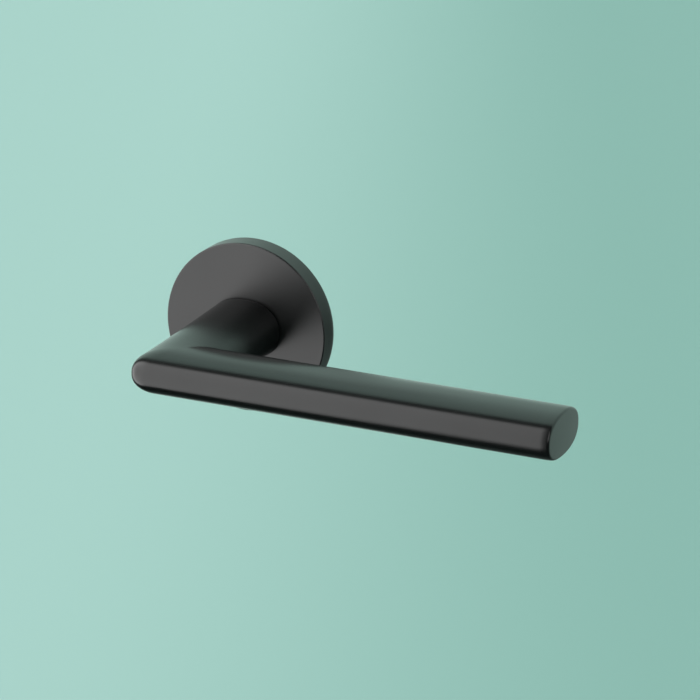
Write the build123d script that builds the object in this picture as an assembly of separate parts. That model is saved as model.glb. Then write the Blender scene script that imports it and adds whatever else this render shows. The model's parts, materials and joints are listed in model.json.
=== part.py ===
"""Lever handle on a round rose: one half of a door lever set, with its spring cassette.

Frame, in millimetres: the door face is the plane y = 0 and the room is on the -Y side.
The lever turns about the Y axis, its grip runs along +X and +Z is up.
"""
from build123d import *
import os
from math import asin, cos, degrees, pi, radians, sin

# ---- driving dimensions: what shows on the door
rose_radius = 26.0
rose_height = 6.4
rose_wall = 1.0
rose_front = 1.2
rose_rim_round = 0.4
grip_axis = 49.5            # door face to the grip's axis
grip_half_depth = 11.65     # across the door
grip_half_height = 6.64     # up and down
grip_end = 118.0            # spindle axis to the grip's end face
grip_power = 2.33           # superellipse power of the grip's section
grip_end_round = 0.8
corner_radius = 6.5         # plan radius of the elbow's outer corner
neck_half_width = 11.65     # at the rose
neck_half_height = 9.04
neck_power = 2.22
neck_gap = 0.3              # between the neck and the rose's face

# ---- driving dimensions: the spindle and what turns with it
travel = 40.0               # degrees, from the rest stop to the open stop
spindle_size = 8.0
spindle_room = 0.1          # square sockets are this much wider than the spindle
spindle_front = -28.0
spindle_back = 36.0
spindle_chamfer = 0.8
socket_front = -30.0
journal_radius = 7.5
journal_end = -0.2
hub_radius = 7.2
hub_front = 0.3
hub_end = 12.4
hub_chamfer = 0.4
hub_flat = 6.6              # half the distance across the flats that key the driver disc
driver_thickness = 1.6
driver_radius = 8.7
lug_radius = 10.6
lug_half_angle = 12.0
lug_angle = 90.0            # where the lug stands at rest, from +X towards +Z
driver_groove = 10.2        # front wall of the driver circlip's groove
driver_groove_radius = 6.6
driver_circlip_radius = 9.0
driver_circlip_gap = 3.6
circlip_thickness = 0.8
guide_radius = 7.8
end_gap = 0.15              # left at the ends of pieces that sit between others

# ---- driving dimensions: the fixed under-rose
plate_radius = 24.7
plate_thickness = 1.8
plate_rim_wall = 1.5
web_recess = 0.1            # inside the housing the plate's back lies this far below the door face
plate_rim_front = -5.0
boss_radius = 10.8
boss_front = -3.4
bush_bore = 7.55
bush_radius = 8.5
bush_flange_radius = 10.4
bush_flange = 0.6
neck_ring_bore = 7.8
neck_ring_lip = 1.0         # the ring is this much wider behind the rose's face
neck_ring_lip_height = 0.7
rose_hole = 8.8
housing_radius = 12.0
housing_bore = 10.9
housing_back_bore = 11.1
housing_groove_radius = 11.4
housing_end = 10.6
housing_circlip_bore = 9.9
housing_circlip_gap = 5.0
cover_front = 7.95
cover_thickness = 1.0
cover_bore = 7.3
washer_radius = 9.4
washer_thickness = 0.4
disc_spring_radius = 9.2
disc_spring_thickness = 0.3
stop_pin_radius = 0.9
stop_pin_ring = 9.8         # distance of the stop pins from the spindle axis
stop_pin_cap = 0.3          # plate left in front of the pins' blind holes
stop_clearance = 0.15       # degrees left between the lug and a stop pin
snap_wire = 0.5
snap_centre = -3.4
snap_ring_radius = 24.75
snap_ring_gap = 12.0        # degrees
snap_groove_depth = 0.3
pry_notch = (6.0, 2.0, 1.0)

# ---- driving dimensions: the return spring
spring_wire = 0.6           # radius of the wire
spring_tang = 0.55          # radius of its drawn-down ends
spring_mean_radius = 8.75
spring_turns = 3.5
spring_pitch = 1.3
spring_front = 2.6
spring_tang_room = 0.1

# ---- driving dimensions: fasteners
fixing_spacing = 38.0
sleeve_radius = 3.5
sleeve_stem = 2.6
sleeve_head = 3.7
sleeve_head_height = 0.7
sleeve_bore = 2.0           # tapped M4
sleeve_end = 7.5
sleeve_chamfer = 0.3
sleeve_seat = 0.5           # how far the sleeve's shoulder is let into the plate
screw_head_radius = 3.3
screw_shank_radius = 1.75
screw_root_radius = 1.15
screw_length = 16.0
screw_pitch = 1.5
screw_lip = 0.3             # rim of the head, in front of its cone
thread_start = 0.6          # first thread, behind the door face
thread_crest = 0.5          # crest and next root, as shares of the pitch
thread_root = 0.9
screw_recess = (3.4, 0.7, 1.3)
screw_room = 0.05
grub_radius = 2.48          # M5
grub_hole_radius = 2.5
grub_depth = -16.0
grub_length = 4.0
grub_key = 2.5
grub_chamfer = 0.6

# ---- fits
press_gap = 0.01            # radial, so that pressed pieces meet without sharing volume
slip_gap = 0.05
outline_points = 32
beyond = 200.0              # longer than the whole part, for cutting and splitting

rose_face = -rose_height
neck_base = rose_face - neck_gap
plate_front = -plate_thickness
rose_inner_face = rose_face + rose_front
elbow_x = -grip_half_depth + corner_radius
elbow_y = -grip_axis - grip_half_depth + corner_radius
crotch_y = -grip_axis + grip_half_depth
socket_size = spindle_size + spindle_room
driver_back = hub_front + driver_thickness
cover_back = cover_front + cover_thickness


# ---- shared shapes
def facing(y, x=0.0, z=0.0):
    """A plane parallel to the door that faces the room: its x is +X and its y is +Z."""
    return Plane(origin=(x, y, z), x_dir=(1, 0, 0), z_dir=(0, -1, 0))


def along_y(sketch, front, back, x=0.0, z=0.0):
    """A sketch drawn in X and Z, made solid from y = front to y = back."""
    return extrude(facing(back, x, z) * sketch, back - front)


def disc(radius, front, back, x=0.0, z=0.0):
    return along_y(Circle(radius), front, back, x, z)


def ring(outer, inner, front, back, x=0.0, z=0.0):
    return along_y(Circle(outer) - Circle(inner), front, back, x, z)


def turned(profile):
    """A closed outline of (radius, y) points, turned about the spindle axis."""
    return revolve(make_face(Polyline(*profile, close=True)), Axis.Y)


def polar(radius, angle):
    """X and Z of a point at an angle from +X towards +Z, in degrees."""
    return radius * cos(radians(angle)), radius * sin(radians(angle))


def superellipse(half_x, half_y, power):
    """A rounded-oval face: |x / half_x|^power + |y / half_y|^power = 1."""
    points = []
    for index in range(outline_points):
        turn = 2 * pi * index / outline_points
        across, up = cos(turn), sin(turn)
        x = half_x * abs(across) ** (2 / power) * (1 if across >= 0 else -1)
        y = half_y * abs(up) ** (2 / power) * (1 if up >= 0 else -1)
        points.append((x, y))
    return make_face(Spline(*points, periodic=True))


def split_ring(outer, inner, front, back, gap_angle, gap):
    """A flat retaining ring with its gap centred on an angle."""
    slot = Rectangle(2 * outer, gap, align=(Align.MIN, Align.CENTER)).rotate(Axis.Z, gap_angle)
    return along_y(Circle(outer) - Circle(inner) - slot, front, back)


# ---- the lever and its spindle
def grip_section():
    return superellipse(grip_half_depth, grip_half_height, grip_power)


def elbow_box():
    """The square column outside the elbow's plan radius."""
    reach = Box(corner_radius, corner_radius, beyond)
    return Pos(elbow_x - corner_radius / 2, elbow_y - corner_radius / 2, 0) * reach


def lever_neck():
    base = facing(neck_base) * superellipse(neck_half_width, neck_half_height, neck_power)
    throat = facing(crotch_y) * grip_section()
    taper = loft([base, throat], ruled=True)
    run = along_y(grip_section(), -grip_axis - grip_half_depth, crotch_y)
    mitre = Plane(origin=(elbow_x, elbow_y, 0), z_dir=(-1, 1, 0))
    return taper + (split(run, bisect_by=mitre, keep=Keep.TOP) - elbow_box())


def lever_grip():
    start = Plane(origin=(-grip_half_depth, -grip_axis, 0), x_dir=(0, 1, 0), z_dir=(1, 0, 0))
    bar = extrude(start * grip_section(), grip_end + grip_half_depth)
    bar = fillet(bar.edges().group_by(Axis.X)[-1], grip_end_round)
    mitre = Plane(origin=(elbow_x, elbow_y, 0), z_dir=(-1, 1, 0))
    return split(bar, bisect_by=mitre, keep=Keep.BOTTOM) - elbow_box()


def lever_elbow():
    """The outermost band of the section, swung a quarter turn round the elbow's centre."""
    outside = Rectangle(beyond, beyond, align=(Align.MAX, Align.CENTER))
    band = facing(elbow_y) * (grip_section() & (Pos(elbow_x, 0) * outside))
    return revolve(band, Axis((elbow_x, elbow_y, 0), (0, 0, 1)), 90)


def lever_handle():
    lever = lever_neck() + lever_elbow() + lever_grip()
    lever += disc(journal_radius, neck_base, journal_end)
    lever -= along_y(Rectangle(socket_size, socket_size), socket_front, journal_end)
    grub_hole = Plane(origin=(0, grub_depth, -beyond / 2), z_dir=(0, 0, 1)) * Circle(grub_hole_radius)
    return lever - extrude(grub_hole, beyond / 2)


def lever_grub_screw():
    tip = -spindle_size / 2
    end = tip - grub_length
    body = Pos(0, grub_depth, (tip + end) / 2) * Cylinder(grub_radius, grub_length)
    body = chamfer(body.edges().group_by(Axis.Z)[-1], grub_chamfer)
    hexagon = RegularPolygon(grub_key / 2, 6, major_radius=False)
    key = Plane(origin=(0, grub_depth, end), z_dir=(0, 0, 1)) * hexagon
    return body - extrude(key, grub_length / 2)


def spindle():
    bar = along_y(Rectangle(spindle_size, spindle_size), spindle_front, spindle_back)
    ends = bar.edges().group_by(Axis.Y)[0] + bar.edges().group_by(Axis.Y)[-1]
    return chamfer(ends, spindle_chamfer)


# ---- the driver, which turns with the spindle inside the cassette
def hub_outline(size):
    """The keyed front of the driver hub: a circle with two flats."""
    return Circle(hub_radius + size) & Rectangle(2 * (hub_flat + size), 4 * hub_radius)


def driver_hub():
    hub = along_y(hub_outline(0), hub_front, driver_back)
    hub += disc(hub_radius, driver_back, hub_end)
    hub = chamfer(hub.edges().group_by(Axis.Y)[-1], hub_chamfer)
    hub -= ring(beyond, driver_groove_radius, driver_groove, driver_groove + circlip_thickness + slip_gap)
    return hub - along_y(Rectangle(socket_size, socket_size), hub_front, hub_end)


def driver_disc():
    start = lug_angle - lug_half_angle
    lug = make_face(
        Line((0, 0), polar(lug_radius, start))
        + CenterArc((0, 0), lug_radius, start, 2 * lug_half_angle)
        + Line(polar(lug_radius, start + 2 * lug_half_angle), (0, 0))
    )
    blank = Circle(driver_radius) + lug - hub_outline(press_gap)
    body = along_y(blank, hub_front, driver_back)
    notch = disc(spring_wire + spring_tang_room, hub_front, driver_back, z=-spring_mean_radius)
    return body - notch


def driver_circlip():
    back = driver_groove + circlip_thickness
    bore = driver_groove_radius + press_gap
    return split_ring(driver_circlip_radius, bore, driver_groove, back, -90, driver_circlip_gap)


def spring_guide():
    return ring(guide_radius, hub_radius + press_gap, driver_back, cover_front - end_gap)


# ---- the return spring
def return_spring():
    """A torsion spring. Its front end is bent into the driver disc and its back end into the cover."""
    rise = spring_turns * spring_pitch
    path = Helix(spring_pitch, rise, spring_mean_radius)
    section = Plane(origin=path @ 0, z_dir=path % 0) * Circle(spring_wire)
    lying = Plane(origin=(0, spring_front, 0), x_dir=(0, 0, -1), z_dir=(0, 1, 0))
    coil = lying * sweep(section, path=path, is_frenet=True)
    spring_back = spring_front + rise
    front_bend = Pos(0, spring_front, -spring_mean_radius) * Sphere(spring_wire)
    back_bend = Pos(0, spring_back, spring_mean_radius) * Sphere(spring_wire)
    front_tang = disc(spring_tang, hub_front + end_gap, spring_front, z=-spring_mean_radius)
    back_tang = disc(spring_tang, spring_back, cover_back - end_gap, z=spring_mean_radius)
    return coil + front_bend + back_bend + front_tang + back_tang


# ---- the rose and the fixed under-rose
def rose_cover():
    shell = disc(rose_radius, rose_face, 0)
    shell = fillet(shell.edges().group_by(Axis.Y)[0], rose_rim_round)
    shell -= disc(rose_radius - rose_wall, rose_inner_face, 0)
    shell -= disc(rose_hole, rose_face, rose_inner_face)
    half = snap_wire + slip_gap
    shell -= disc(rose_radius - rose_wall + snap_groove_depth, snap_centre - half, snap_centre + half)
    width, height, depth = pry_notch
    return shell - Pos(0, -depth / 2, -rose_radius) * Box(width, depth, 2 * height)


def cover_snap_ring():
    """A round-wire ring, split at the top, that the rose snaps over."""
    wire = revolve(Pos(snap_ring_radius, snap_centre) * Circle(snap_wire), Axis.Y, 360 - snap_ring_gap)
    return wire.rotate(Axis.Y, -90 - snap_ring_gap / 2)


def neck_ring():
    collar = ring(rose_hole - slip_gap, neck_ring_bore, rose_face + slip_gap, rose_inner_face)
    lip_back = rose_inner_face + neck_ring_lip_height
    return collar + ring(rose_hole + neck_ring_lip, neck_ring_bore, rose_inner_face, lip_back)


def fixing_points():
    """The two screw sleeves stand left and right of the spindle."""
    return [(-fixing_spacing / 2, 0.0), (fixing_spacing / 2, 0.0)]


def screw_points():
    """The two wood screws stand above and below the spindle."""
    return [(0.0, -fixing_spacing / 2), (0.0, fixing_spacing / 2)]


def stop_pin_points():
    """One pin stops the lug at rest, the other at full travel."""
    pin_half = degrees(asin(stop_pin_radius / stop_pin_ring))
    lead = lug_half_angle + pin_half + stop_clearance
    return [polar(stop_pin_ring, lug_angle + lead), polar(stop_pin_ring, lug_angle - travel - lead)]


def countersink(room):
    """The screw head's cone, with its flat top on the plate's front face."""
    cone = screw_head_radius - screw_shank_radius
    return turned([
        (0, plate_front),
        (screw_head_radius + room, plate_front),
        (screw_head_radius + room, plate_front + screw_lip),
        (screw_shank_radius + room, plate_front + screw_lip + cone),
        (0, plate_front + screw_lip + cone),
    ])


def base_plate():
    plate = disc(plate_radius, plate_front, 0)
    plate += ring(plate_radius, plate_radius - plate_rim_wall, plate_rim_front, plate_front)
    plate += disc(boss_radius, boss_front, plate_front)
    plate += ring(housing_radius, housing_bore, 0, housing_end)
    plate -= disc(housing_bore, -web_recess, 0)
    plate -= disc(bush_radius + press_gap, boss_front, 0)
    half = snap_wire + slip_gap
    plate -= ring(beyond, snap_ring_radius - half, snap_centre - half, snap_centre + half)
    plate -= disc(housing_back_bore, cover_front, housing_end)
    plate -= disc(housing_groove_radius, cover_back, cover_back + circlip_thickness)
    for x, z in stop_pin_points():
        plate -= disc(stop_pin_radius + press_gap, plate_front + stop_pin_cap, 0, x, z)
    for x, z in fixing_points():
        plate -= disc(sleeve_stem + press_gap, plate_front, 0, x, z)
        plate -= disc(sleeve_radius + slip_gap, -sleeve_seat, 0, x, z)
    for x, z in screw_points():
        plate -= Pos(x, 0, z) * countersink(screw_room)
        plate -= disc(screw_shank_radius + screw_room, plate_front, 0, x, z)
    return plate


def bearing_bush():
    sleeve = ring(bush_radius, bush_bore, boss_front, -web_recess)
    return sleeve + ring(bush_flange_radius, bush_bore, boss_front - bush_flange, boss_front)


def stop_pins():
    front = plate_front + stop_pin_cap
    return [disc(stop_pin_radius, front, driver_back, x, z) for x, z in stop_pin_points()]


def spring_cover():
    cover = ring(housing_back_bore - press_gap, cover_bore, cover_front, cover_back)
    return cover - disc(spring_wire + spring_tang_room, cover_front, cover_back, z=spring_mean_radius)


def housing_circlip():
    back = cover_back + circlip_thickness
    rim = housing_groove_radius - press_gap
    return split_ring(rim, housing_circlip_bore, cover_back, back, -90, housing_circlip_gap)


def thrust_washer():
    return ring(washer_radius, cover_bore, cover_back, cover_back + washer_thickness)


def disc_spring():
    """A slightly coned washer that takes up the driver's end play."""
    front = cover_back + washer_thickness
    back = driver_groove - slip_gap
    return turned([
        (cover_bore, back - disc_spring_thickness),
        (cover_bore, back),
        (disc_spring_radius, front + disc_spring_thickness),
        (disc_spring_radius, front),
    ])


# ---- fasteners that pass through the base plate
def threaded_sleeve(x, z):
    """A riveted sleeve, tapped M4, that the far side's screw pulls on."""
    sleeve = disc(sleeve_stem, plate_front, -sleeve_seat, x, z)
    sleeve += disc(sleeve_head, plate_front - sleeve_head_height, plate_front, x, z)
    sleeve += disc(sleeve_radius, -sleeve_seat, sleeve_end, x, z)
    sleeve = chamfer(sleeve.edges().group_by(Axis.Y)[-1], sleeve_chamfer)
    return sleeve - disc(sleeve_bore, plate_front - sleeve_head_height, sleeve_end, x, z)


def threaded_sleeves():
    return [threaded_sleeve(x, z) for x, z in fixing_points()]


def screw_thread():
    """The threaded shank: a sawtooth outline turned about the screw's axis, down to the point."""
    tip = plate_front + screw_length
    outline = [(0, 0), (screw_root_radius, 0)]
    y = thread_start
    while y < tip - 2 * screw_pitch:
        outline.append((screw_root_radius, y))
        outline.append((screw_shank_radius - slip_gap, y + screw_pitch * thread_crest))
        outline.append((screw_root_radius, y + screw_pitch * thread_root))
        y += screw_pitch
    return turned(outline + [(screw_root_radius, y), (0, tip)])


def wood_screw(x, z):
    """A countersunk screw with a cross recess."""
    screw = countersink(0) + screw_thread()
    length, width, depth = screw_recess
    for turn in (45, 135):
        slot = Rectangle(length, width).rotate(Axis.Z, turn)
        screw -= along_y(slot, plate_front, plate_front + depth)
    return Pos(x, 0, z) * screw


def wood_screws():
    return [wood_screw(x, z) for x, z in screw_points()]


# ---- writing
def as_shape(made):
    """One solid, or a group of separate solids for pieces that repeat."""
    if isinstance(made, list):
        return Compound(children=[piece.solid() for piece in made])
    return made.solid()


makers = [
    lever_handle,
    lever_grub_screw,
    spindle,
    driver_hub,
    driver_disc,
    driver_circlip,
    spring_guide,
    return_spring,
    rose_cover,
    cover_snap_ring,
    neck_ring,
    base_plate,
    bearing_bush,
    stop_pins,
    spring_cover,
    housing_circlip,
    thrust_washer,
    disc_spring,
    threaded_sleeves,
    wood_screws,
]

os.makedirs("parts", exist_ok=True)
for maker in makers:
    export_step(as_shape(maker()), f"parts/{maker.__name__}.step")
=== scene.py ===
"""Looks for the lever door handle: a satin black lever and rose, and the cassette behind them.

Metres, in the part's own frame: the door face is y = 0, the room is on the -Y side, +X runs along the grip.
"""
import bpy
import bmesh
import json
import math
from mathutils import Matrix, Vector


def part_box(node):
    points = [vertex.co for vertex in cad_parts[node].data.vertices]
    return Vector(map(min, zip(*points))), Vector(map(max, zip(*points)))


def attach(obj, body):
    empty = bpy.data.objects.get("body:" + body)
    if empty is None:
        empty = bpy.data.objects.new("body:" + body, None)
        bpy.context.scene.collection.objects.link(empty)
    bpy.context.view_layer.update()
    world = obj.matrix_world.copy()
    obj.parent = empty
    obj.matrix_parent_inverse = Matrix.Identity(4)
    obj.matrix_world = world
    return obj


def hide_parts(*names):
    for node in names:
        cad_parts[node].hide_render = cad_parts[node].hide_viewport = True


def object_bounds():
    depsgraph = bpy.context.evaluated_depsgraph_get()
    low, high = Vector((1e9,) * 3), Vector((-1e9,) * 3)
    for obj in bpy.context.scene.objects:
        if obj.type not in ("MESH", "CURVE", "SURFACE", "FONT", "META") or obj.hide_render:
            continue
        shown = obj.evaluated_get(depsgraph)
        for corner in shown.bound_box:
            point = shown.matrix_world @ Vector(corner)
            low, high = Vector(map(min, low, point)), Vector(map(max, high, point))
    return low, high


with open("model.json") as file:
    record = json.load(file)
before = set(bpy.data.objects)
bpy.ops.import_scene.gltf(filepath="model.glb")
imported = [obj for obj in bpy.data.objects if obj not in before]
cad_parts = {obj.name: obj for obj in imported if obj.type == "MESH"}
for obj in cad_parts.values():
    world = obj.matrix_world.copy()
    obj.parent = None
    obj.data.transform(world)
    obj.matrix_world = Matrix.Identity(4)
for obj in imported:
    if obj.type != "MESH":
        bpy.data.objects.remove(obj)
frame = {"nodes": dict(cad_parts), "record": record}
cad_low, cad_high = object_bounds()
nodes = frame["nodes"]

MM = 0.001

# ---- sizes read from the frame
rose_low, rose_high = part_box("rose_cover")
lever_low, lever_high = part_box("lever_handle")
ROSE_RADIUS = (rose_high[0] - rose_low[0]) / 2
ROSE_FACE = rose_low[1]
GRIP_END = lever_high[0]
NOSE = lever_low[1]
SECTION_HALF_DEPTH = -lever_low[0]

# ---- camera
CAMERA_AZIMUTH = 24.25              # degrees to the right of straight on
CAMERA_ELEVATION = 18.72            # degrees
CAMERA_ROLL = 0.83                  # degrees
CAMERA_TARGET = Vector((27.13, 9.39, -7.62)) * MM
CAMERA_DISTANCE = 1016.5 * MM
CAMERA_LENS = 175.2                 # mm of focal length
CAMERA_SENSOR = 36                  # mm
CAMERA_CLIP = (0.05, 60)

# ---- floor, coloured with a painted light falloff
FLOOR_DROP = 1.2                    # below the part's lowest point
FLOOR_REACH = 14.0
# The floor's two colours are painted light: lighter on the left where the room's light falls, darker on the
# right.
FLOOR_PAINTED_LIT_LEFT = (0.385, 0.580, 0.540)
FLOOR_PAINTED_SHADED_RIGHT = (0.251, 0.437, 0.392)
FLOOR_ACROSS = (0.928, 0.375, 0.0)  # the way the floor's painted light falloff runs
FLOOR_SPAN = (-0.50, 0.34)          # where the painted falloff leaves the lit left colour and reaches the shaded right one
FLOOR_ROUGH = 0.9
FLOOR_SHINE = 0.1
SUN_POWER = 0.6
SUN_SOFTNESS = 1.0

# ---- light from all round, by its direction: x is to the right, y to the door and z up
DARK = (0.012, 0.015, 0.015)
DOOR_LIGHT = (0.58, 0.81, 0.73)
DOOR_EDGE = (0.15, 0.26)            # y where the door's light begins and is full
DOOR_LOW = (-0.75, -0.15)           # z where it begins and is full
DOOR_LOW_GAIN = (0.10, 1.0)
DOOR_HIGH = (0.30, 0.85)            # z where it grows towards the top
DOOR_HIGH_GAIN = (1.0, 1.4)
DOOR_PEAK = 2                       # gains are mixed as a share of this, since a mix stops at 1
ROOM_LIGHT = (2.5, 2.5, 2.5)
ROOM_EDGE = (-0.08, -0.19)          # y where the room's light begins and is full
ROOM_SIDE = (-0.20, -0.33)          # x likewise
ROOM_SPAN = (-0.45, -0.33)          # x between which its gain and its lower edge's slope change
ROOM_GAIN = (1.38, 0.90)
ROOM_DIP = (1.70, 0.68)
DIP_EDGE = (-0.08, 0.08)            # softness of its lower edge
ROOM_SLANT = (-1.0, -0.45)          # x from which it reaches round to the door's side
ROOM_SLANT_DEPTH = -0.7
ROOM_FAR = (-0.95, -0.50)           # x towards which it dims on the far left
ROOM_FAR_GAIN = (0.55, 1.0)
FILL_LIGHT = (1.3, 1.3, 1.3)
FILL_SIDE = (0.20, 0.40)            # x where the fill light on the right begins and is full
FILL_UP = (-0.05, 0.15)             # z likewise
FILL_DEPTH = (-0.15, -0.30)         # y likewise

# ---- the card that shades what the rose's edge mirrors
SHADE_GAP = 0.3 * MM                # between the rose and the card
SHADE_SIZE = 3                      # the card's radius over the rose's
SHADE_REACH = (28 * MM, 50 * MM)    # the shade ends between these radii
SHADE_SPAN = (-26 * MM, 12 * MM)    # from its low right side to its high left side
SHADE_LIGHT = 0.20                  # the share of light left in the deepest shade
TOWARDS_HIGH_LEFT = (-1, 0, 1)

# ---- the lever's shape
GRIP_AXIS = NOSE + SECTION_HALF_DEPTH
GRIP_HALF_HEIGHT = 6.64 * MM
GRIP_POWER = 2.33                   # how square the oval section is: 2 is an ellipse
NECK_GAP = 0.3 * MM
NECK_FOOT = ROSE_FACE - NECK_GAP
NECK_HALF_HEIGHT = lever_high[2]
NECK_POWER = 2.22
NECK_EASE = 1.5                     # how early the neck takes the grip's section
ELBOW_RADIUS = 6.5 * MM             # on the outside of the elbow
CROTCH_RADIUS = 0.15 * MM           # on its inside
ELBOW_SPREAD = 2.5                  # how late the radius grows from the inside to the outside
END_ROUND = 0.8 * MM
TIP_REACH = 2.0 * MM                # the last stretch of the grip, which draws in
TIP_DRAW = 0.10 * MM
TIP_CROWN = 0.2 * MM                # how far the end face swells
TIP_START = GRIP_END - END_ROUND - TIP_REACH
JOURNAL_RADIUS = 7.5 * MM

# ---- how finely the lever's skin is drawn
AROUND = 256
NECK_STEPS = 40
ELBOW_STEPS = 28
GRIP_STEPS = 48
ROUND_STEPS = 8
CAP_STEPS = 14

# ---- materials
BLACK_COAT = ((0.0062, 0.0066, 0.0066), (0.0084, 0.0089, 0.0089))
COAT_RUBBED = (0.020, 0.020, 0.020)
COAT_CLOUD = 0.015                  # how far the clouds move the roughness
COAT_DUST = 0.01                    # how far the dust does
LEVER_ROUGH, LEVER_SHINE = 0.215, 0.50
ROSE_ROUGH, ROSE_SHINE = 0.33, 0.66
BLACK_NYLON = ((0.018, 0.018, 0.019), (0.030, 0.030, 0.031))
WHITE_NYLON = ((0.68, 0.66, 0.60), (0.76, 0.75, 0.70))
WHITE_NYLON_DEPTH = (1.2 * MM, 1.0 * MM, 0.8 * MM)
ZINC_BLUE, ZINC_STRAW, ZINC_SPECK = (0.60, 0.62, 0.66), (0.66, 0.64, 0.58), (0.40, 0.41, 0.42)
BRIGHT_STEEL = ((0.50, 0.50, 0.51), (0.60, 0.60, 0.60))
SPRING_STEEL = ((0.10, 0.10, 0.105), (0.19, 0.18, 0.17))
SPRING_RUBBED = (0.42, 0.42, 0.43)
METAL = 1.0
WHOLE = (0.0, 1.0)                  # a noise from end to end
MIDDLE = (0.3, 0.7)                 # the range where most of a noise's values lie
WORN_LEAN = (0.97, 0.80)            # how well a rounded normal agrees with the true one, on flats and edges
BEVEL_SAMPLES = 6
EVEN = (1, 1, 1)
DRAWN_Z = (1, 1, 5)                 # stretches that turn a noise into drawn or tooled lines
TOOLED_Y = (1, 0.02, 1)

# ---- sockets of a mix node that carries colours
MIX_FACTOR, MIX_FIRST, MIX_SECOND, MIX_RESULT = 0, 6, 7, 2


# ---- node helpers
class Nodes:
    """A short way to add and join the nodes of one tree."""

    def __init__(self, tree):
        self.tree = tree

    def add(self, kind, **settings):
        node = self.tree.nodes.new(kind)
        for key, value in settings.items():
            setattr(node, key, value)
        return node

    def feed(self, value, socket):
        """Gives a socket another node's output, a number, a vector or a colour."""
        if isinstance(value, bpy.types.NodeSocket):
            self.tree.links.new(value, socket)
        elif socket.type == "RGBA":
            socket.default_value = (*value, 1)
        else:
            socket.default_value = value

    def place(self, scale=1.0, stretch=EVEN):
        where = self.add("ShaderNodeTexCoord")
        mapping = self.add("ShaderNodeMapping")
        self.feed([scale * share for share in stretch], mapping.inputs["Scale"])
        self.feed(where.outputs["Object"], mapping.inputs["Vector"])
        return mapping.outputs["Vector"]

    def noise(self, scale, detail, rough=0.5, stretch=EVEN):
        """Scale is in waves per metre."""
        node = self.add("ShaderNodeTexNoise")
        self.feed(1.0, node.inputs["Scale"])
        self.feed(detail, node.inputs["Detail"])
        self.feed(rough, node.inputs["Roughness"])
        self.feed(self.place(scale, stretch), node.inputs["Vector"])
        return node.outputs["Fac"]

    def ramp(self, value, span, levels=(0.0, 1.0), curve="LINEAR"):
        """Goes from the first level to the second as the value crosses the span."""
        node = self.add("ShaderNodeMapRange", interpolation_type=curve)
        names = ("Value", "From Min", "From Max", "To Min", "To Max")
        for name, given in zip(names, (value, *span, *levels)):
            self.feed(given, node.inputs[name])
        return node.outputs["Result"]

    def mix(self, factor, first, second):
        node = self.add("ShaderNodeMix", data_type="RGBA")
        self.feed(factor, node.inputs[MIX_FACTOR])
        self.feed(first, node.inputs[MIX_FIRST])
        self.feed(second, node.inputs[MIX_SECOND])
        return node.outputs[MIX_RESULT]

    def math(self, operation, first, second):
        node = self.add("ShaderNodeMath", operation=operation)
        self.feed(first, node.inputs[0])
        self.feed(second, node.inputs[1])
        return node.outputs["Value"]

    def product(self, first, *others):
        for other in others:
            first = self.math("MULTIPLY", first, other)
        return first

    def dot(self, first, second):
        node = self.add("ShaderNodeVectorMath", operation="DOT_PRODUCT")
        self.feed(first, node.inputs[0])
        self.feed(second, node.inputs[1])
        return node.outputs["Value"]


class Paint(Nodes):
    """The nodes of one new material."""

    def __init__(self, name):
        self.material = bpy.data.materials.new(name)
        self.material.use_nodes = True
        super().__init__(self.material.node_tree)
        self.shader = self.tree.nodes["Principled BSDF"]

    def give(self, name, value):
        self.feed(value, self.shader.inputs[name])

    def edges(self, radius):
        """1 on worn convex edges, 0 on flat faces: how far a rounded-off normal leans from the true one."""
        soft = self.add("ShaderNodeBevel", samples=BEVEL_SAMPLES)
        self.feed(radius, soft.inputs["Radius"])
        shape = self.add("ShaderNodeNewGeometry")
        return self.ramp(self.dot(soft.outputs["Normal"], shape.outputs["Normal"]), WORN_LEAN)

    def bump(self, height, strength, distance):
        node = self.add("ShaderNodeBump")
        self.feed(strength, node.inputs["Strength"])
        self.feed(distance, node.inputs["Distance"])
        self.feed(height, node.inputs["Height"])
        self.give("Normal", node.outputs["Normal"])


# ---- materials
def coat(name, rough, shine):
    """Satin black powder coat over metal: fine texture, faint cloudiness and a paler rub on its edges."""
    paint = Paint(name)
    clouds = paint.noise(scale=60, detail=4)
    grain = paint.noise(scale=2600, detail=2)
    dust = paint.noise(scale=900, detail=3, rough=0.6)
    rub = paint.product(paint.edges(radius=0.4 * MM), paint.ramp(dust, span=(0.40, 0.65)))
    body = paint.mix(clouds, *BLACK_COAT)
    cloudy = paint.ramp(clouds, MIDDLE, (rough - COAT_CLOUD, rough + COAT_CLOUD))
    dusty = paint.ramp(dust, WHOLE, (-COAT_DUST, COAT_DUST))
    paint.give("Base Color", paint.mix(rub, body, COAT_RUBBED))
    paint.give("Roughness", paint.math("ADD", cloudy, dusty))
    paint.give("Specular IOR Level", shine)
    paint.bump(grain, strength=0.08, distance=0.01 * MM)
    return paint.material


def black_coat():
    """The coat on the lever."""
    return coat("black_coat", LEVER_ROUGH, LEVER_SHINE)


def black_nylon():
    """Moulded nylon with a dull, fine-grained skin."""
    paint = Paint("black_nylon")
    grain = paint.noise(scale=1800, detail=3)
    paint.give("Base Color", paint.mix(grain, *BLACK_NYLON))
    paint.give("Roughness", paint.ramp(grain, WHOLE, levels=(0.45, 0.60)))
    paint.bump(grain, strength=0.15, distance=0.03 * MM)
    return paint.material


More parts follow.
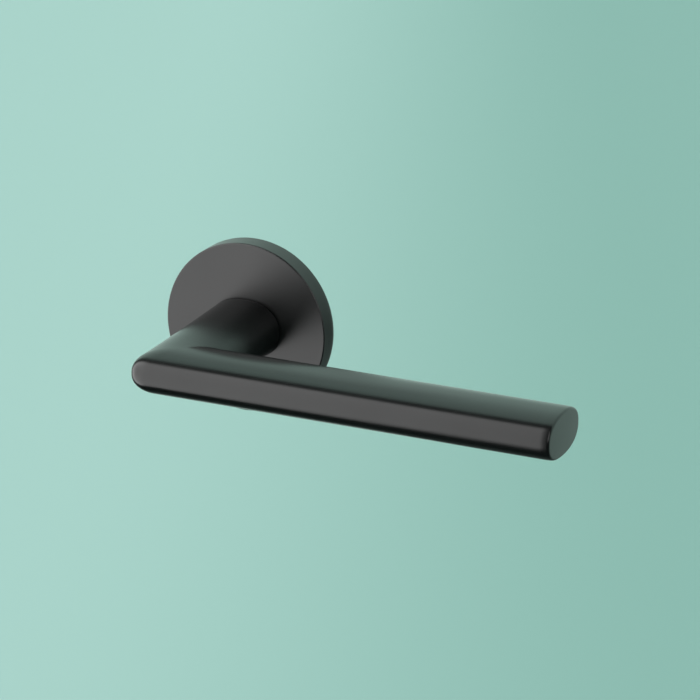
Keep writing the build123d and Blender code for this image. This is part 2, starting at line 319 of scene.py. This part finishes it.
def zinc_plated():
    """Bright zinc plate with a faint blue and straw passivation bloom and a drawn grain."""
    paint = Paint("zinc_plated")
    bloom = paint.noise(scale=70, detail=4, rough=0.6)
    grain = paint.noise(scale=500, detail=4, rough=0.6, stretch=DRAWN_Z)
    speck = paint.noise(scale=1600, detail=2)
    plate = paint.mix(paint.ramp(bloom, span=(0.35, 0.65)), ZINC_BLUE, ZINC_STRAW)
    paint.give("Base Color", paint.mix(paint.ramp(speck, span=(0.60, 0.75)), plate, ZINC_SPECK))
    paint.give("Metallic", METAL)
    paint.give("Roughness", paint.ramp(grain, MIDDLE, levels=(0.28, 0.44)))
    paint.bump(grain, strength=0.12, distance=0.03 * MM)
    return paint.material


def bright_steel():
    """Machined steel with fine lengthwise tool lines."""
    paint = Paint("bright_steel")
    lines = paint.noise(scale=1500, detail=2, stretch=TOOLED_Y)
    clouds = paint.noise(scale=90, detail=3)
    paint.give("Base Color", paint.mix(clouds, *BRIGHT_STEEL))
    paint.give("Metallic", METAL)
    paint.give("Roughness", paint.ramp(lines, MIDDLE, levels=(0.26, 0.36)))
    paint.bump(lines, strength=0.06, distance=0.01 * MM)
    return paint.material


def spring_steel():
    """Oil-blackened spring wire and rings, bright where their edges are rubbed."""
    paint = Paint("spring_steel")
    clouds = paint.noise(scale=160, detail=4, rough=0.6)
    body = paint.mix(clouds, *SPRING_STEEL)
    paint.give("Base Color", paint.mix(paint.edges(radius=0.3 * MM), body, SPRING_RUBBED))
    paint.give("Metallic", METAL)
    paint.give("Roughness", paint.ramp(clouds, MIDDLE, levels=(0.26, 0.42)))
    paint.bump(paint.noise(scale=1400, detail=2), strength=0.10, distance=0.02 * MM)
    return paint.material


def white_nylon():
    """Natural nylon, slightly see-through and a little uneven in colour."""
    paint = Paint("white_nylon")
    clouds = paint.noise(scale=110, detail=3)
    grain = paint.noise(scale=1500, detail=3)
    paint.give("Base Color", paint.mix(clouds, *WHITE_NYLON))
    paint.give("Subsurface Weight", 0.15)
    paint.give("Subsurface Radius", WHITE_NYLON_DEPTH)
    paint.give("Roughness", paint.ramp(grain, WHOLE, levels=(0.38, 0.55)))
    paint.bump(grain, strength=0.12, distance=0.03 * MM)
    return paint.material


MATERIALS = {make.__name__: make() for make in
             (black_coat, black_nylon, zinc_plated, bright_steel, spring_steel, white_nylon)}


def dress_nodes():
    """Every carried-over CAD node takes the material of its own slot, and the rose a duller coat."""
    for part in frame["record"]["subparts"]:
        for slot in nodes[part["node"]].material_slots:
            slot.material = MATERIALS[part["material_slot"]]
    for slot in nodes["rose_cover"].material_slots:
        slot.material = coat("black_coat_rose", ROSE_ROUGH, ROSE_SHINE)


dress_nodes()


# ---- meshes
def add_mesh(name, points, faces, material):
    mesh = bpy.data.meshes.new(name)
    mesh.from_pydata(points, [], faces)
    mesh.update()
    piece = bpy.data.objects.new(name, mesh)
    bpy.context.scene.collection.objects.link(piece)
    mesh.materials.append(material)
    return piece


def ring(radius, y):
    """Points of a circle about the spindle's axis."""
    turns = [2 * math.pi * index / AROUND for index in range(AROUND)]
    return [(radius * math.cos(turn), y, radius * math.sin(turn)) for turn in turns]


# ---- camera and stage
def aim(azimuth, elevation, roll):
    """Camera axes: azimuth 0 looks along +Y, and roll tips the camera's right side up."""
    azimuth, elevation, roll = map(math.radians, (azimuth, elevation, roll))
    level = Vector((math.cos(azimuth), math.sin(azimuth), 0))
    away = Vector((math.sin(azimuth), -math.cos(azimuth), 0))
    back = away * math.cos(elevation) + Vector((0, 0, math.sin(elevation)))
    up = back.cross(level)
    right = level * math.cos(roll) + up * math.sin(roll)
    return right, back.cross(right), back


def add_camera():
    right, up, back = aim(CAMERA_AZIMUTH, CAMERA_ELEVATION, CAMERA_ROLL)
    data = bpy.data.cameras.new("camera")
    data.lens = CAMERA_LENS
    data.sensor_width = CAMERA_SENSOR
    data.clip_start, data.clip_end = CAMERA_CLIP
    camera = bpy.data.objects.new("camera", data)
    bpy.context.scene.collection.objects.link(camera)
    turn = Matrix((right, up, back)).transposed()
    camera.matrix_world = Matrix.Translation(CAMERA_TARGET + back * CAMERA_DISTANCE) @ turn.to_4x4()
    bpy.context.scene.camera = camera


def add_floor():
    """A pale floor with painted light: its colour is lighter on the left and darker on the right, as the
    room's light falls off. It lies far enough below that the part throws no shadow on it.
    """
    level = cad_low[2] - FLOOR_DROP
    corners = [(x * FLOOR_REACH, y * FLOOR_REACH, level) for x, y in ((-1, -1), (1, -1), (1, 1), (-1, 1))]
    paint = Paint("floor")
    # Painted light: the floor's colour runs from the lit left colour to the shaded right colour.
    across = paint.ramp(paint.dot(paint.place(), FLOOR_ACROSS), FLOOR_SPAN, curve="SMOOTHSTEP")
    paint.give("Base Color", paint.mix(across, FLOOR_PAINTED_LIT_LEFT, FLOOR_PAINTED_SHADED_RIGHT))
    paint.give("Roughness", FLOOR_ROUGH)
    paint.give("Specular IOR Level", FLOOR_SHINE)
    floor = add_mesh("floor", corners, [(0, 1, 2, 3)], paint.material)
    floor.visible_glossy = False


def add_sun():
    """Soft light from above for the floor, kept out of reflections."""
    data = bpy.data.lights.new("sun", "SUN")
    data.energy = SUN_POWER
    data.angle = SUN_SOFTNESS
    sun = bpy.data.objects.new("sun", data)
    sun.visible_glossy = False
    bpy.context.scene.collection.objects.link(sun)


def door_shade_paint():
    """The door's light, dimmed near the rose and most of all at its low right side."""
    paint = Paint("door_shade")
    where = paint.place()
    length = paint.add("ShaderNodeVectorMath", operation="LENGTH")
    paint.feed(where, length.inputs[0])
    near = paint.ramp(length.outputs["Value"], SHADE_REACH, levels=(1, 0))
    low = paint.ramp(paint.dot(where, TOWARDS_HIGH_LEFT), SHADE_SPAN, levels=(1 - SHADE_LIGHT, 0))
    paint.give("Base Color", (0, 0, 0))
    paint.give("Emission Color", paint.mix(paint.product(near, low), DOOR_LIGHT, DARK))
    paint.give("Emission Strength", 1.0)
    return paint.material


def add_door_shade():
    """A flat ring in the door's plane, which only reflections see."""
    points = ring(ROSE_RADIUS + SHADE_GAP, 0) + ring(SHADE_SIZE * ROSE_RADIUS, 0)
    faces = []
    for index in range(AROUND):
        following = (index + 1) % AROUND
        faces.append((index, AROUND + index, AROUND + following, following))
    card = add_mesh("door_shade", points, faces, door_shade_paint())
    card.visible_camera = False
    card.visible_diffuse = False
    card.visible_shadow = False


def door_glow(light, up):
    """The light from the door's side, which fades below and grows towards the top."""
    door = light.product(light.ramp(up, DOOR_LOW, DOOR_LOW_GAIN), light.ramp(up, DOOR_HIGH, DOOR_HIGH_GAIN))
    brightest = tuple(DOOR_PEAK * level for level in DOOR_LIGHT)
    return light.mix(light.product(door, 1 / DOOR_PEAK), DARK, brightest)


def room_glow(light, side, depth, up):
    """The light from the room on the left, and the fill light at the upper right."""
    dip = light.ramp(side, ROOM_SPAN, ROOM_DIP)
    lower = light.math("SUBTRACT", up, light.product(depth, dip))
    edges = light.product(light.ramp(depth, ROOM_EDGE), light.ramp(side, ROOM_SIDE))
    shape = light.product(edges, light.ramp(lower, DIP_EDGE))
    gain = light.product(light.ramp(side, ROOM_SPAN, ROOM_GAIN), light.ramp(side, ROOM_FAR, ROOM_FAR_GAIN))
    room = light.mix(light.product(shape, gain), DARK, ROOM_LIGHT)
    fill = light.product(light.ramp(side, FILL_SIDE), light.ramp(up, FILL_UP), light.ramp(depth, FILL_DEPTH))
    return light.mix(fill, room, FILL_LIGHT)


def add_world():
    """Soft light from all round: pale green from the door's side, neutral from the room, dark from below."""
    world = bpy.data.worlds.new("studio")
    bpy.context.scene.world = world
    world.use_nodes = True
    light = Nodes(world.node_tree)
    axes = light.add("ShaderNodeSeparateXYZ")
    light.feed(light.add("ShaderNodeTexCoord").outputs["Generated"], axes.inputs["Vector"])
    side, up = axes.outputs["X"], axes.outputs["Z"]
    slant = light.ramp(side, ROOM_SLANT, (ROOM_SLANT_DEPTH, 0.0))
    depth = light.math("ADD", axes.outputs["Y"], slant)
    room, door = room_glow(light, side, depth, up), door_glow(light, up)
    colour = light.mix(light.ramp(depth, DOOR_EDGE), room, door)
    light.feed(colour, light.tree.nodes["Background"].inputs["Color"])
    bpy.context.scene.view_settings.view_transform = "Standard"


add_camera()
add_floor()
add_door_shade()
add_world()
add_sun()


# ---- the lever, as one smooth skin
def oval(half_across, half_up, power, turn):
    """The point of a superellipse whose outward normal stands at an angle."""
    share = power / (power - 1)
    across = abs(half_across * math.cos(turn)) ** share
    up = abs(half_up * math.sin(turn)) ** share
    x = half_across * math.copysign((across / (across + up)) ** (1 / power), math.cos(turn))
    z = half_up * math.copysign((up / (across + up)) ** (1 / power), math.sin(turn))
    return x, z


def grip_oval(turn, inset=0.0):
    """The grip's outline, drawn in by a distance along its own normal."""
    across, up = oval(SECTION_HALF_DEPTH, GRIP_HALF_HEIGHT, GRIP_POWER, turn)
    return across - inset * math.cos(turn), up - inset * math.sin(turn)


def elbow_radius(across):
    """The bend's radius where the skin is this far behind the grip's axis."""
    share = (SECTION_HALF_DEPTH - across) / (2 * SECTION_HALF_DEPTH)
    return CROTCH_RADIUS + (ELBOW_RADIUS - CROTCH_RADIUS) * share ** ELBOW_SPREAD


def neck_line(turn, end):
    """From the neck's foot to the start of the elbow, while the section flattens into the grip's."""
    line = []
    for step in range(NECK_STEPS):
        y = NECK_FOOT + (end - NECK_FOOT) * step / NECK_STEPS
        blend = 1 - (1 - (NECK_FOOT - y) / (NECK_FOOT - end)) ** NECK_EASE
        half_up = NECK_HALF_HEIGHT + (GRIP_HALF_HEIGHT - NECK_HALF_HEIGHT) * blend
        power = NECK_POWER + (GRIP_POWER - NECK_POWER) * blend
        x, z = oval(SECTION_HALF_DEPTH, half_up, power, turn)
        line.append((x, y, z))
    return line


def elbow_line(across, up, radius):
    """A quarter turn from the neck's direction into the grip's."""
    line = []
    for step in range(ELBOW_STEPS):
        swing = math.pi + math.pi / 2 * step / ELBOW_STEPS
        x = across + radius + radius * math.cos(swing)
        y = GRIP_AXIS + across + radius + radius * math.sin(swing)
        line.append((x, y, up))
    return line


def grip_line(across, up, start):
    """Straight along the grip."""
    xs = [start + (TIP_START - start) * step / GRIP_STEPS for step in range(GRIP_STEPS)]
    return [(x, GRIP_AXIS + across, up) for x in xs]


def tip_line(turn):
    """The end of the grip: it draws in slightly, rounds off and closes with a faintly crowned face."""
    line = []
    for step in range(ROUND_STEPS):
        share = step / ROUND_STEPS
        across, up = grip_oval(turn, TIP_DRAW * share ** 2)
        line.append((TIP_START + TIP_REACH * share, GRIP_AXIS + across, up))
    for step in range(ROUND_STEPS):
        swing = math.pi / 2 * step / ROUND_STEPS
        across, up = grip_oval(turn, TIP_DRAW + END_ROUND * (1 - math.cos(swing)))
        line.append((GRIP_END - END_ROUND + END_ROUND * math.sin(swing), GRIP_AXIS + across, up))
    across, up = grip_oval(turn, TIP_DRAW + END_ROUND)
    for step in range(CAP_STEPS):
        shrink = 1 - step / CAP_STEPS
        line.append((GRIP_END + TIP_CROWN * (1 - shrink ** 2), GRIP_AXIS + across * shrink, up * shrink))
    return line


def lever_line(turn):
    """One line along the lever's skin, from the neck's foot through the elbow to the end face."""
    across, up = grip_oval(turn)
    radius = elbow_radius(across)
    neck = neck_line(turn, GRIP_AXIS + across + radius)
    return neck + elbow_line(across, up, radius) + grip_line(across, up, across + radius) + tip_line(turn)


def add_foot(points, faces, count):
    """Closes the neck with a flat foot that steps in to the round journal, which ends in a flat."""
    end = lever_high[1]
    rings = [[index * count for index in range(AROUND)]]
    for radius, y in ((JOURNAL_RADIUS, NECK_FOOT), (JOURNAL_RADIUS, end), (JOURNAL_RADIUS / 2, end)):
        rings.append(list(range(len(points), len(points) + AROUND)))
        points += ring(radius, y)
    for first, second in zip(rings, rings[1:]):
        for index in range(AROUND):
            following = (index + 1) % AROUND
            faces.append((first[index], first[following], second[following], second[index]))
    centre = len(points)
    points.append((0, end, 0))
    for index in range(AROUND):
        faces.append((rings[-1][index], rings[-1][(index + 1) % AROUND], centre))


def add_lever():
    lines = [lever_line(2 * math.pi * index / AROUND) for index in range(AROUND)]
    count = len(lines[0])
    points = [point for line in lines for point in line]
    tip = len(points)
    points.append((GRIP_END + TIP_CROWN, GRIP_AXIS, 0))
    faces = []
    for index in range(AROUND):
        here, following = index * count, (index + 1) % AROUND * count
        for step in range(count - 1):
            faces.append((here + step, here + step + 1, following + step + 1, following + step))
        faces.append((here + count - 1, tip, following + count - 1))
    add_foot(points, faces, count)
    piece = add_mesh("lever_casting", points, faces, MATERIALS["black_coat"])
    skin = bmesh.new()
    skin.from_mesh(piece.data)
    bmesh.ops.recalc_face_normals(skin, faces=skin.faces)
    skin.to_mesh(piece.data)
    skin.free()
    piece.data.shade_smooth()
    return piece


lever = add_lever()
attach(lever, "lever")
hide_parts("lever_handle")
